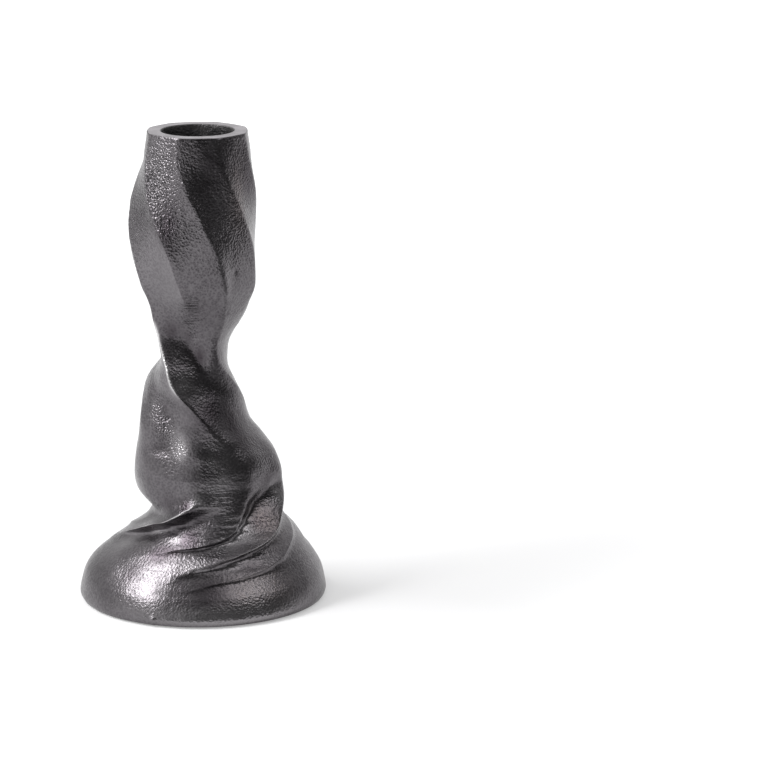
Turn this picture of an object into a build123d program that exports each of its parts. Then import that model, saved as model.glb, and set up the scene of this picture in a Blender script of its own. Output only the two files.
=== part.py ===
from build123d import *
import math
import os
from collections import namedtuple

# Spiral candle holder: one casting from rim to foot, standing on four felt pads.
# Millimetres and degrees. The origin is on the table, under the middle of the foot, and +Z is up.
# Azimuths turn from +X towards +Y, so -Y, the side that is seen first, is at 270.

# Overall sizes
overall_height = 150.0
foot_radius = 39.2
lobe_radius = 21.5
waist_radius = 10.5
bulb_radius = 20.0

# Candle socket
socket_radius = 11.3
socket_depth = 25.0
rim_wall = 4.4

# Hollow underside
foot_ring_width = 12.0
hollow_height = 20.0

# Felt pads, each in a round recess of the foot's ring
pad_margin = 1.3
pad_clearance = 0.2
pad_thickness = 1.5
pad_proud = 0.5
pad_azimuths = {"front_left": 225.0, "front_right": 315.0, "back_left": 135.0, "back_right": 45.0}

cut_overrun = 1.0

rim_radius = socket_radius + rim_wall
casting_height = overall_height - pad_proud
hollow_radius = foot_radius - foot_ring_width
recess_radius = foot_ring_width / 2 - pad_margin
recess_depth = pad_thickness - pad_proud
pad_radius = recess_radius - pad_clearance
pad_circle_radius = foot_radius - foot_ring_width / 2

# Outline of the casting, from the foot up. Each level is a share of the casting's height, the size that
# the level follows, and the reach to the left, to the right and to front and back as shares of that size.
Level = namedtuple("Level", "height_share size left_share right_share depth_share")
outline_levels = (
    Level(0.000, foot_radius, 0.995, 0.995, 0.995),
    Level(0.010, foot_radius, 1.005, 1.005, 1.005),
    Level(0.025, foot_radius, 0.997, 0.998, 0.990),
    Level(0.050, foot_radius, 0.972, 0.975, 0.941),
    Level(0.080, foot_radius, 0.900, 0.920, 0.857),
    Level(0.110, foot_radius, 0.780, 0.845, 0.763),
    Level(0.130, foot_radius, 0.660, 0.780, 0.704),
    Level(0.150, foot_radius, 0.555, 0.715, 0.645),
    Level(0.170, lobe_radius, 0.855, 1.215, 1.130),
    Level(0.190, lobe_radius, 0.785, 1.185, 1.090),
    Level(0.230, lobe_radius, 0.950, 1.180, 1.015),
    Level(0.270, lobe_radius, 1.005, 1.165, 0.980),
    Level(0.310, lobe_radius, 0.980, 1.100, 0.925),
    Level(0.350, lobe_radius, 0.940, 0.900, 0.875),
    Level(0.380, lobe_radius, 0.910, 0.725, 0.830),
    Level(0.430, lobe_radius, 0.845, 0.610, 0.750),
    Level(0.470, waist_radius, 1.570, 1.010, 1.375),
    Level(0.500, waist_radius, 1.350, 0.855, 1.240),
    Level(0.520, waist_radius, 1.215, 0.830, 1.150),
    Level(0.535, waist_radius, 1.185, 0.835, 1.110),
    Level(0.550, waist_radius, 1.200, 0.880, 1.085),
    Level(0.570, waist_radius, 1.250, 1.020, 1.100),
    Level(0.590, waist_radius, 1.330, 1.200, 1.165),
    Level(0.630, bulb_radius, 0.785, 0.785, 0.735),
    Level(0.680, bulb_radius, 0.930, 0.875, 0.880),
    Level(0.730, bulb_radius, 1.050, 0.885, 0.965),
    Level(0.790, bulb_radius, 1.100, 0.895, 1.000),
    Level(0.850, bulb_radius, 1.055, 0.900, 0.970),
    Level(0.890, bulb_radius, 0.970, 0.880, 0.925),
    Level(0.930, rim_radius, 1.120, 1.085, 1.105),
    Level(0.970, rim_radius, 1.045, 1.040, 1.045),
    Level(1.000, rim_radius, 1.000, 1.000, 1.000),
)

# Sections that the casting is lofted through, evenly spaced
section_count = 101

# Turn of all the ridges about the axis, in degrees, by share of the height
twist_at_height_shares = (
    (0.00, 36), (0.04, 38), (0.075, 45), (0.095, 54), (0.127, 78), (0.153, 107), (0.173, 121), (0.22, 138),
    (0.253, 145), (0.293, 147), (0.347, 138), (0.38, 130), (0.42, 114), (0.48, 84), (0.52, 64), (0.573, 54),
    (0.607, 51), (0.70, 48), (0.747, 45), (0.827, 30), (0.90, 11), (0.953, 1), (1.00, 0),
)

# How far the ridges stand out, as a share of the section's radius, by share of the height
relief_shares = (
    (0.00, 0.05), (0.08, 0.10), (0.133, 0.15), (0.20, 0.19), (0.30, 0.18), (0.40, 0.20), (0.48, 0.25),
    (0.567, 0.21), (0.667, 0.12), (0.747, 0.11), (0.867, 0.11), (0.933, 0.09), (1.00, 0.07),
)

# Strength of the ridges round the bulb and of those that cross the waist
bulb_ridge_shares = ((0.573, 0), (0.627, 0.35), (0.68, 0.9), (0.767, 1), (0.90, 1), (0.953, 0.85), (1, 0.7))
waist_ridge_shares = (
    (0.20, 0), (0.25, 0.22), (0.28, 0.42), (0.333, 0.30), (0.387, 0.7), (0.44, 0.95), (0.493, 1.25),
    (0.547, 1.5), (0.60, 1.25), (0.667, 0.45), (0.733, 0),
)

# Depth of the groove on the steep side of a waist ridge and of the flat on its gentle side, and how far each
# lies from the crest, in degrees
waist_groove_shares = (
    (0.44, 0), (0.48, 0.2), (0.52, 0.55), (0.56, 0.75), (0.595, 0.7), (0.63, 0.4), (0.68, 0.1), (0.747, 0),
)
groove_offset_at_height_shares = ((0.50, 42), (0.56, 40), (0.60, 36), (0.667, 34))
groove_width_angle = 27.0
waist_flat_shares = ((0.28, 0), (0.315, 0.3), (0.35, 0.55), (0.39, 0.55), (0.44, 0.3), (0.49, 0))
flat_offset_at_height_shares = ((0.33, -58), (0.38, -43), (0.42, -34))
flat_width_angle = 20.0

# Strength of the four kinds of fold that the ridges become below the waist
lip_fold_shares = (
    (0.10, 0), (0.125, 0.2), (0.15, 0.75), (0.177, 1.3), (0.207, 1.3), (0.247, 0.65), (0.287, 0.5),
    (0.327, 0.5), (0.373, 0.3), (0.427, 0),
)
leaf_fold_shares = ((0.11, 0), (0.135, 0.3), (0.15, 0.6), (0.175, 0.75), (0.205, 0.75), (0.24, 0.4), (0.28, 0))
petal_fold_shares = (
    (0.075, 0), (0.095, 0.25), (0.115, 0.7), (0.14, 1.1), (0.20, 1.25), (0.267, 0.9), (0.307, 0.5), (0.36, 0),
)
band_fold_shares = ((0.06, 0), (0.083, 0.25), (0.107, 0.45), (0.153, 0.35), (0.20, 0))

# Depth of the hollow under the lip and of the one behind the petal, and how far each lies from its crest
lip_hollow_shares = ((0.10, 0), (0.125, 0.25), (0.16, 0.35), (0.20, 0.3), (0.225, 0))
lip_hollow_offset = ((0, 19), (1, 19))
petal_hollow_shares = ((0.12, 0), (0.15, 0.4), (0.19, 0.75), (0.22, 0.65), (0.24, 0.3), (0.265, 0))
petal_hollow_offset = ((0.14, -17), (0.16, -29), (0.185, -32), (0.21, -30), (0.23, -27), (0.258, -14))
no_hollow = ((0, 0), (1, 0))
hollow_width_angle = 14.0

# Width of a ridge's steep and gentle sides and rounding of its crest, in degrees, by share of the height
steep_side_at_height_shares = (
    (0, 9), (0.14, 10), (0.187, 13), (0.267, 14), (0.32, 17), (0.44, 24), (0.50, 22), (0.56, 16), (0.62, 13),
    (0.68, 14), (1, 14),
)
gentle_side_at_height_shares = ((0, 22), (0.30, 24), (0.40, 30), (0.567, 34), (0.667, 14), (1, 14))
crest_rounding_at_height_shares = (
    (0, 2), (0.205, 2.2), (0.25, 8), (0.30, 11), (0.347, 8), (0.387, 4), (0.467, 2.2), (0.587, 2.4), (0.667, 3),
    (0.733, 2.2), (1, 3),
)

# A fold's gentle side narrows to its own spread between these shares of the height
spread_from_share = 0.32
spread_to_share = 0.253

# The eight ridges by azimuth at the rim. drift is what a ridge adds to the common turn, in degrees.
Ridge = namedtuple("Ridge", "azimuth waist_share fold_shares spread_share drift_at_height_shares hollow_shares "
                            "hollow_offset_at_height_shares")
no_drift = ((0, 0), (1, 0))
lip_drift = (
    (0.09, -6), (0.12, -13), (0.137, -18.5), (0.15, -22.5), (0.164, -23.5), (0.177, -21), (0.19, -12.5),
    (0.204, -5.5), (0.217, 1.5), (0.231, 7.5), (0.251, 6.5), (0.293, 5), (0.333, 8), (0.373, 14), (0.427, 10),
)
waist_drift = (
    (0.14, 0), (0.153, 7), (0.165, 9.5), (0.185, 8.5), (0.223, 5), (0.251, 2), (0.29, 0), (0.44, 0), (0.473, 4),
    (0.507, 9), (0.533, 5), (0.567, 0),
)
band_drift = ((0.06, -34), (0.08, -20), (0.093, -5), (0.113, 2), (0.147, 0))
ridges = (
    Ridge(22, 0.0, leaf_fold_shares, 1.00, no_drift, no_hollow, no_drift),
    Ridge(68, 0.7, band_fold_shares, 1.00, no_drift, no_hollow, no_drift),
    Ridge(112, 0.0, lip_fold_shares, 0.45, lip_drift, lip_hollow_shares, lip_hollow_offset),
    Ridge(156, 1.4, leaf_fold_shares, 1.10, waist_drift, no_hollow, no_drift),
    Ridge(203, 0.0, petal_fold_shares, 0.80, no_drift, petal_hollow_shares, petal_hollow_offset),
    Ridge(248, 0.4, band_fold_shares, 1.00, band_drift, no_hollow, no_drift),
    Ridge(293, 0.0, lip_fold_shares, 0.80, no_drift, no_hollow, no_drift),
    Ridge(335, 0.7, leaf_fold_shares, 0.80, no_drift, no_hollow, no_drift),
)

# Points of a section between one crest and the next, as shares of the angle between them
between_crest_shares = (0, 0.05, 0.12, 0.22, 0.35, 0.50, 0.65, 0.78, 0.88, 0.95)
full_turn_angle = 360.0
extent_step_angle = 3

# Neighbouring heights that a section's extents are averaged over, so that no crest shifts the section at once
easing_shares = (-0.045, -0.03, -0.015, 0, 0.015, 0.03, 0.045)


def slope_at(first, second):
    """Slope of a monotone curve at a knot between two chords."""
    if first * second <= 0:
        return 0.0
    return 2 * first * second / (first + second)


def follow(knots, share):
    """Value at a share of the height, on a smooth curve through a table's knots that never overshoots one."""
    if share <= knots[0][0]:
        return knots[0][1]
    if share >= knots[-1][0]:
        return knots[-1][1]
    chords = [(b[1] - a[1]) / (b[0] - a[0]) for a, b in zip(knots, knots[1:])]
    index = max(i for i, knot in enumerate(knots[:-1]) if knot[0] <= share)
    start_slope = slope_at(chords[max(index - 1, 0)], chords[index])
    end_slope = slope_at(chords[index], chords[min(index + 1, len(chords) - 1)])
    width = knots[index + 1][0] - knots[index][0]
    t = (share - knots[index][0]) / width
    low, high = knots[index][1], knots[index + 1][1]
    rise = t * t * (3 - 2 * t)
    return low + (high - low) * rise + width * t * (1 - t) * (start_slope * (1 - t) - end_slope * t)


def outline_reach(share):
    """Reach of the outline to the left, to the right and to front and back at a share of the height."""
    left = [(level.height_share, level.size * level.left_share) for level in outline_levels]
    right = [(level.height_share, level.size * level.right_share) for level in outline_levels]
    depth = [(level.height_share, level.size * level.depth_share) for level in outline_levels]
    return follow(left, share), follow(right, share), follow(depth, share)


def crest_azimuth(ridge, share):
    return ridge.azimuth + follow(twist_at_height_shares, share) + follow(ridge.drift_at_height_shares, share)


def crest_strength(ridge, share):
    across_waist = ridge.waist_share * follow(waist_ridge_shares, share)
    return follow(bulb_ridge_shares, share) + across_waist + follow(ridge.fold_shares, share)


def fold_spread(ridge, share):
    t = (spread_from_share - share) / (spread_from_share - spread_to_share)
    return 1 + (ridge.spread_share - 1) * min(max(t, 0), 1)


def dip(gap, offset, width):
    """Depth of a smooth dip that lies an offset away from a crest, as a share of its greatest depth."""
    return math.exp(-((gap - offset) / width) ** 2)


def dips_beside(ridge, share):
    """Depth, offset and width of the dips beside a ridge."""
    return (
        (ridge.waist_share * follow(waist_groove_shares, share), follow(groove_offset_at_height_shares, share),
         groove_width_angle),
        (ridge.waist_share * follow(waist_flat_shares, share), follow(flat_offset_at_height_shares, share),
         flat_width_angle),
        (follow(ridge.hollow_shares, share), follow(ridge.hollow_offset_at_height_shares, share),
         hollow_width_angle),
    )


def unit_section(share):
    """Radius of a section of unit size at a share of the height, as a function of azimuth."""
    relief = follow(relief_shares, share)
    steep = follow(steep_side_at_height_shares, share)
    gentle = follow(gentle_side_at_height_shares, share)
    rounding = follow(crest_rounding_at_height_shares, share)
    crests = [
        (crest_azimuth(ridge, share), crest_strength(ridge, share), gentle * fold_spread(ridge, share),
         dips_beside(ridge, share))
        for ridge in ridges
    ]

    def radius(azimuth):
        height = 0.0
        for crest, strength, gentle_side, dips in crests:
            gap = (azimuth - crest + full_turn_angle / 2) % full_turn_angle - full_turn_angle / 2
            away = math.hypot(gap, rounding) - rounding
            height += strength * math.exp(-away / (steep if gap > 0 else gentle_side))
            for depth, offset, width in dips:
                height -= depth * dip(gap, offset, width)
        return 1 + relief * height

    return radius


def section_azimuths(share):
    """Azimuths of a section's points, which keep to the ridges as they turn."""
    crests = [crest_azimuth(ridge, share) for ridge in ridges]
    following = crests[1:] + [crests[0] + full_turn_angle]
    return [
        crest + part * (after - crest)
        for crest, after in zip(crests, following)
        for part in between_crest_shares
    ]


def unit_extents(share):
    """Least and greatest x and y of a section of unit size."""
    radius = unit_section(share)
    sampled = range(0, int(full_turn_angle), extent_step_angle)
    across = [radius(a) * math.cos(math.radians(a)) for a in sampled]
    along = [radius(a) * math.sin(math.radians(a)) for a in sampled]
    return min(across), max(across), min(along), max(along)


def eased_extents(share):
    """Extents of a section of unit size, averaged with those of its neighbours."""
    nearby = [unit_extents(min(max(share + offset, 0), 1)) for offset in easing_shares]
    return [sum(column) / len(nearby) for column in zip(*nearby)]


def section_points(share):
    """Points of the casting's outer section, fitted to the outline's reach on each side."""
    radius = unit_section(share)
    least_x, greatest_x, least_y, greatest_y = eased_extents(share)
    left, right, depth = outline_reach(share)
    scale_x = (left + right) / (greatest_x - least_x)
    scale_y = 2 * depth / (greatest_y - least_y)
    shift_x = right - scale_x * greatest_x
    shift_y = depth - scale_y * greatest_y
    height = pad_proud + share * casting_height
    return [
        (shift_x + scale_x * radius(a) * math.cos(math.radians(a)),
         shift_y + scale_y * radius(a) * math.sin(math.radians(a)), height)
        for a in section_azimuths(share)
    ]


def section_ring(share):
    """Closed section of the casting: one spline from each crest to the next."""
    points = [Vector(*point) for point in section_points(share)]
    points.append(points[0])
    count = len(between_crest_shares)
    parameters = [*between_crest_shares, 1]
    facets = [points[start:start + count + 1] for start in range(0, len(points) - 1, count)]
    return Wire([Edge.make_spline(facet, parameters=parameters) for facet in facets])


def twisted_body():
    """The casting's outer form, solid: eight smooth facets that meet along the crests."""
    last = section_count - 1
    return Solid.make_loft([section_ring(index / last) for index in range(section_count)])


def candle_socket():
    """Blind socket for a candle, open at the rim."""
    bottom = overall_height - socket_depth
    depth = socket_depth + cut_overrun
    return Pos(0, 0, bottom) * Cylinder(socket_radius, depth, align=(Align.CENTER, Align.CENTER, Align.MIN))


def underside_hollow():
    """Domed hollow of the foot, open below."""
    top = pad_proud + hollow_height
    dome_radius = (hollow_radius ** 2 + hollow_height ** 2) / (2 * hollow_height)
    dome = Pos(0, 0, top - dome_radius) * Sphere(dome_radius)
    mouth = Cylinder(hollow_radius, top + cut_overrun, align=(Align.CENTER, Align.CENTER, Align.MAX))
    return dome & Pos(0, 0, top) * mouth


def pad_place(azimuth):
    """Where a pad's middle is, on the table."""
    return Pos(
        pad_circle_radius * math.cos(math.radians(azimuth)),
        pad_circle_radius * math.sin(math.radians(azimuth)),
        0,
    )


def pad_recess(azimuth):
    depth = recess_depth + cut_overrun
    recess = Cylinder(recess_radius, depth, align=(Align.CENTER, Align.CENTER, Align.MAX))
    return pad_place(azimuth) * Pos(0, 0, pad_thickness) * recess


def felt_pad(azimuth):
    """Felt disc that fills its recess and stands proud of the foot."""
    pad = Cylinder(pad_radius, pad_thickness, align=(Align.CENTER, Align.CENTER, Align.MIN))
    return pad_place(azimuth) * pad


def spiral_casting():
    casting = twisted_body() - candle_socket() - underside_hollow()
    for azimuth in pad_azimuths.values():
        casting -= pad_recess(azimuth)
    return casting


os.makedirs("parts", exist_ok=True)
export_step(spiral_casting(), "parts/spiral_casting.step")
for side, azimuth in pad_azimuths.items():
    export_step(felt_pad(azimuth), f"parts/felt_pad_{side}.step")
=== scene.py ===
import math
import random
from collections import namedtuple

import bmesh
import bpy
import numpy as np
from mathutils import Matrix, Vector, noise


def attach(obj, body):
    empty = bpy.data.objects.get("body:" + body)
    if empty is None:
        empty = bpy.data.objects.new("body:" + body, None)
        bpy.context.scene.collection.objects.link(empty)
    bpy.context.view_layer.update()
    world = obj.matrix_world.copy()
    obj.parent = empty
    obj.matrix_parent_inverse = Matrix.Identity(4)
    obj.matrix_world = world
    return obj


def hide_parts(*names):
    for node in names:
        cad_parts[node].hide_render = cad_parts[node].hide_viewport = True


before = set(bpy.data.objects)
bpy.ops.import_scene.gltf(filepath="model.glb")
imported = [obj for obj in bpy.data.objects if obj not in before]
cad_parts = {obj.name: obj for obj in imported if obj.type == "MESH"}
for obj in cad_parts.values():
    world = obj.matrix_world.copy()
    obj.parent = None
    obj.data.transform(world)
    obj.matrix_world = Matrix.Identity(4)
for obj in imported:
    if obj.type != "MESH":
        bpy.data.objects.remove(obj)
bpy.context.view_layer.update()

# Spiral candle holder. Lengths are millimetres in the CAD frame unless a comment says metres, and become
# metres when a mesh is made. Angles are degrees, and an azimuth is 0 on the right and 270 at the front.
MM = 0.001

# Sizes and tables of the casting's form, as in the part's source
overall_height = 150.0
foot_radius = 39.2
lobe_radius = 21.5
waist_radius = 10.5
bulb_radius = 20.0
socket_radius = 11.3
socket_depth = 25.0
rim_radius = 15.7
hollow_radius = 27.2
hollow_height = 20.0
recess_radius = 4.7
pad_radius = 4.5
pad_thickness = 1.5
pad_proud = 0.5
pad_circle_radius = 33.2
pad_azimuths = {"front_left": 225.0, "front_right": 315.0, "back_left": 135.0, "back_right": 45.0}
casting_height = overall_height - pad_proud
full_turn_angle = 360.0

Level = namedtuple("Level", "height_share size left_share right_share depth_share")
outline_levels = (
    Level(0.000, foot_radius, 0.995, 0.995, 0.995),
    Level(0.010, foot_radius, 1.005, 1.005, 1.005),
    Level(0.025, foot_radius, 0.997, 0.998, 0.990),
    Level(0.050, foot_radius, 0.972, 0.975, 0.941),
    Level(0.080, foot_radius, 0.900, 0.920, 0.857),
    Level(0.110, foot_radius, 0.780, 0.845, 0.763),
    Level(0.130, foot_radius, 0.660, 0.780, 0.704),
    Level(0.150, foot_radius, 0.555, 0.715, 0.645),
    Level(0.170, lobe_radius, 0.855, 1.215, 1.130),
    Level(0.190, lobe_radius, 0.785, 1.185, 1.090),
    Level(0.230, lobe_radius, 0.950, 1.180, 1.015),
    Level(0.270, lobe_radius, 1.005, 1.165, 0.980),
    Level(0.310, lobe_radius, 0.980, 1.100, 0.925),
    Level(0.350, lobe_radius, 0.940, 0.900, 0.875),
    Level(0.380, lobe_radius, 0.910, 0.725, 0.830),
    Level(0.430, lobe_radius, 0.845, 0.610, 0.750),
    Level(0.470, waist_radius, 1.570, 1.010, 1.375),
    Level(0.500, waist_radius, 1.350, 0.855, 1.240),
    Level(0.520, waist_radius, 1.215, 0.830, 1.150),
    Level(0.535, waist_radius, 1.185, 0.835, 1.110),
    Level(0.550, waist_radius, 1.200, 0.880, 1.085),
    Level(0.570, waist_radius, 1.250, 1.020, 1.100),
    Level(0.590, waist_radius, 1.330, 1.200, 1.165),
    Level(0.630, bulb_radius, 0.785, 0.785, 0.735),
    Level(0.680, bulb_radius, 0.930, 0.875, 0.880),
    Level(0.730, bulb_radius, 1.050, 0.885, 0.965),
    Level(0.790, bulb_radius, 1.100, 0.895, 1.000),
    Level(0.850, bulb_radius, 1.055, 0.900, 0.970),
    Level(0.890, bulb_radius, 0.970, 0.880, 0.925),
    Level(0.930, rim_radius, 1.120, 1.085, 1.105),
    Level(0.970, rim_radius, 1.045, 1.040, 1.045),
    Level(1.000, rim_radius, 1.000, 1.000, 1.000),
)
twist_at_height_shares = (
    (0.00, 36), (0.04, 38), (0.075, 45), (0.095, 54), (0.127, 78), (0.153, 107), (0.173, 121), (0.22, 138),
    (0.253, 145), (0.293, 147), (0.347, 138), (0.38, 130), (0.42, 114), (0.48, 84), (0.52, 64), (0.573, 54),
    (0.607, 51), (0.70, 48), (0.747, 45), (0.827, 30), (0.90, 11), (0.953, 1), (1.00, 0),
)
relief_shares = (
    (0.00, 0.05), (0.08, 0.10), (0.133, 0.15), (0.20, 0.19), (0.30, 0.18), (0.40, 0.20), (0.48, 0.25),
    (0.567, 0.21), (0.667, 0.12), (0.747, 0.11), (0.867, 0.11), (0.933, 0.09), (1.00, 0.07),
)
bulb_ridge_shares = ((0.573, 0), (0.627, 0.35), (0.68, 0.9), (0.767, 1), (0.90, 1), (0.953, 0.85), (1, 0.7))
waist_ridge_shares = (
    (0.20, 0), (0.25, 0.22), (0.28, 0.42), (0.333, 0.30), (0.387, 0.7), (0.44, 0.95), (0.493, 1.25),
    (0.547, 1.5), (0.60, 1.25), (0.667, 0.45), (0.733, 0),
)
waist_groove_shares = (
    (0.44, 0), (0.48, 0.2), (0.52, 0.55), (0.56, 0.75), (0.595, 0.7), (0.63, 0.4), (0.68, 0.1), (0.747, 0),
)
waist_flat_shares = ((0.28, 0), (0.315, 0.3), (0.35, 0.55), (0.39, 0.55), (0.44, 0.3), (0.49, 0))
flat_offset_at_height_shares = ((0.33, -58), (0.38, -43), (0.42, -34))
lip_fold_shares = (
    (0.10, 0), (0.125, 0.2), (0.15, 0.75), (0.177, 1.3), (0.207, 1.3), (0.247, 0.65), (0.287, 0.5),
    (0.327, 0.5), (0.373, 0.3), (0.427, 0),
)
leaf_fold_shares = (
    (0.11, 0), (0.135, 0.3), (0.15, 0.6), (0.175, 0.75), (0.205, 0.75), (0.24, 0.4), (0.28, 0),
)
petal_fold_shares = (
    (0.075, 0), (0.095, 0.25), (0.115, 0.7), (0.14, 1.1), (0.20, 1.25), (0.267, 0.9), (0.307, 0.5), (0.36, 0),
)
band_fold_shares = ((0.06, 0), (0.083, 0.25), (0.107, 0.45), (0.153, 0.35), (0.20, 0))
lip_hollow_shares = ((0.10, 0), (0.125, 0.25), (0.16, 0.35), (0.20, 0.3), (0.225, 0))
petal_hollow_shares = ((0.12, 0), (0.15, 0.4), (0.19, 0.75), (0.22, 0.65), (0.24, 0.3), (0.265, 0))
no_hollow = ((0, 0), (1, 0))
steep_side_at_height_shares = (
    (0, 9), (0.14, 10), (0.187, 13), (0.267, 14), (0.32, 17), (0.44, 24), (0.50, 22), (0.56, 16), (0.62, 13),
    (0.68, 14), (1, 14),
)
gentle_side_at_height_shares = ((0, 22), (0.30, 24), (0.40, 30), (0.567, 34), (0.667, 14), (1, 14))
crest_rounding_at_height_shares = (
    (0, 2), (0.205, 2.2), (0.25, 8), (0.30, 11), (0.347, 8), (0.387, 4), (0.467, 2.2), (0.587, 2.4),
    (0.667, 3), (0.733, 2.2), (1, 3),
)
groove_offset_at_height_shares = ((0.50, 42), (0.56, 40), (0.60, 36), (0.667, 34))
groove_width_angle = 27.0
flat_width_angle = 20.0
hollow_width_angle = 14.0
spread_from_share = 0.32
spread_to_share = 0.253
extent_step_angle = 3
easing_shares = (-0.045, -0.03, -0.015, 0, 0.015, 0.03, 0.045)

Ridge = namedtuple(
    "Ridge",
    "azimuth waist_share fold_shares spread_share drift_at_height_shares hollow_shares "
    "hollow_offset_at_height_shares",
)
no_drift = ((0, 0), (1, 0))
lip_drift = (
    (0.09, -6), (0.12, -13), (0.137, -18.5), (0.15, -22.5), (0.164, -23.5), (0.177, -21), (0.19, -12.5),
    (0.204, -5.5), (0.217, 1.5), (0.231, 7.5), (0.251, 6.5), (0.293, 5), (0.333, 8), (0.373, 14), (0.427, 10),
)
waist_drift = (
    (0.14, 0), (0.153, 7), (0.165, 9.5), (0.185, 8.5), (0.223, 5), (0.251, 2), (0.29, 0), (0.44, 0),
    (0.473, 4), (0.507, 9), (0.533, 5), (0.567, 0),
)
band_drift = ((0.06, -34), (0.08, -20), (0.093, -5), (0.113, 2), (0.147, 0))
lip_hollow_offset = ((0, 19), (1, 19))
petal_hollow_offset = ((0.14, -17), (0.16, -29), (0.185, -32), (0.21, -30), (0.23, -27), (0.258, -14))
ridges = (
    Ridge(22, 0.0, leaf_fold_shares, 1.00, no_drift, no_hollow, no_drift),
    Ridge(68, 0.7, band_fold_shares, 1.00, no_drift, no_hollow, no_drift),
    Ridge(112, 0.0, lip_fold_shares, 0.45, lip_drift, lip_hollow_shares, lip_hollow_offset),
    Ridge(156, 1.4, leaf_fold_shares, 1.10, waist_drift, no_hollow, no_drift),
    Ridge(203, 0.0, petal_fold_shares, 0.80, no_drift, petal_hollow_shares, petal_hollow_offset),
    Ridge(248, 0.4, band_fold_shares, 1.00, band_drift, no_hollow, no_drift),
    Ridge(293, 0.0, lip_fold_shares, 0.80, no_drift, no_hollow, no_drift),
    Ridge(335, 0.7, leaf_fold_shares, 0.80, no_drift, no_hollow, no_drift),
)

# Grid of the casting's skin. Columns run from crest to crest and lie closer together at the crests. Rows
# come in spans, each from one share of the height to another and with a count of rows.
columns_per_facet = 40
crest_crowding = 0.6
row_spans = ((0.004, 0.06, 16), (0.06, 0.25, 68), (0.25, 0.994, 172))

# Rounded edges, the turned faces inside them and the cuts for the pads
edge_round = 0.35
round_steps = 3
rim_steps = 5
wall_steps = 10
floor_steps = 5
floor_fillet = 1.0
ring_steps = 8
dome_steps = 14
sharp_edge_angle = 50.0
recess_segments = 64
cut_overrun = 1.0

# Unevenness of the casting's skin: wavelength and height of each layer
skin_layers = ((9.0, 0.10), (4.2, 0.07), (2.0, 0.035))
skin_inset = 0.06
level_foot_height = 8.0

# Marks left by the mould and by handling, at a height above the table, sunk where the rise is negative
CastMark = namedtuple("CastMark", "azimuth height radius rise")
cast_marks = (
    CastMark(246, 2.2, 0.9, 0.55),
    CastMark(288, 99.7, 0.45, 0.30),
    CastMark(308, 107.7, 0.65, -0.45),
    CastMark(302, 94.2, 0.6, -0.32),
    CastMark(306, 124.0, 0.7, -0.30),
    CastMark(228, 61.0, 0.6, -0.25),
    CastMark(98, 112.0, 0.8, -0.35),
    CastMark(140, 45.0, 0.7, 0.30),
    CastMark(20, 9.0, 0.9, 0.40),
    CastMark(60, 60.0, 0.7, -0.30),
)

# Patches of the skin: where each lies, the angle and the height it spreads over, and how much it shows
SkinPatch = namedtuple("SkinPatch", "azimuth height spread_angle spread_height amount")
coarse_patches = (
    SkinPatch(225, 140, 22, 9, 1.6),
    SkinPatch(279, 142, 12, 8, -0.28),
    SkinPatch(243, 124, 16, 10, 0.7),
    SkinPatch(205, 122, 18, 16, 1.0),
    SkinPatch(310, 122, 16, 12, 0.6),
    SkinPatch(60, 130, 30, 16, 0.7),
    SkinPatch(130, 128, 28, 14, 0.7),
    SkinPatch(247, 52, 8, 4, 1.0),
    SkinPatch(236, 55, 9, 4, 0.7),
    SkinPatch(223, 58, 10, 4, 0.8),
    SkinPatch(208, 65, 9, 5, 0.8),
    SkinPatch(40, 56, 30, 9, 0.6),
    SkinPatch(329, 47, 14, 8, 0.5),
    SkinPatch(298, 9, 16, 6, 0.25),
    SkinPatch(100, 12, 40, 7, 0.2),
)
smooth_patches = (
    SkinPatch(244, 10.5, 13, 5, 0.6),
    SkinPatch(281, 142, 14, 9, 0.6),
    SkinPatch(238, 104, 14, 8, 0.5),
    SkinPatch(253, 62, 10, 5, 0.7),
    SkinPatch(216, 44, 20, 6, 0.6),
    SkinPatch(277, 10, 10, 4, 0.5),
    SkinPatch(65, 14, 20, 6, 0.5),
)
brushed_patches = (
    SkinPatch(262, 99, 12, 5, 1.0),
    SkinPatch(272, 28, 16, 5, 1.0),
    SkinPatch(288, 36, 14, 6, 0.7),
    SkinPatch(90, 30, 25, 7, 0.8),
)
warm_patches = (
    SkinPatch(298, 9, 18, 6, 1.0),
    SkinPatch(315, 132, 12, 10, 0.7),
    SkinPatch(318, 29, 14, 6, 0.8),
    SkinPatch(120, 118, 20, 10, 0.6),
)
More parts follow.
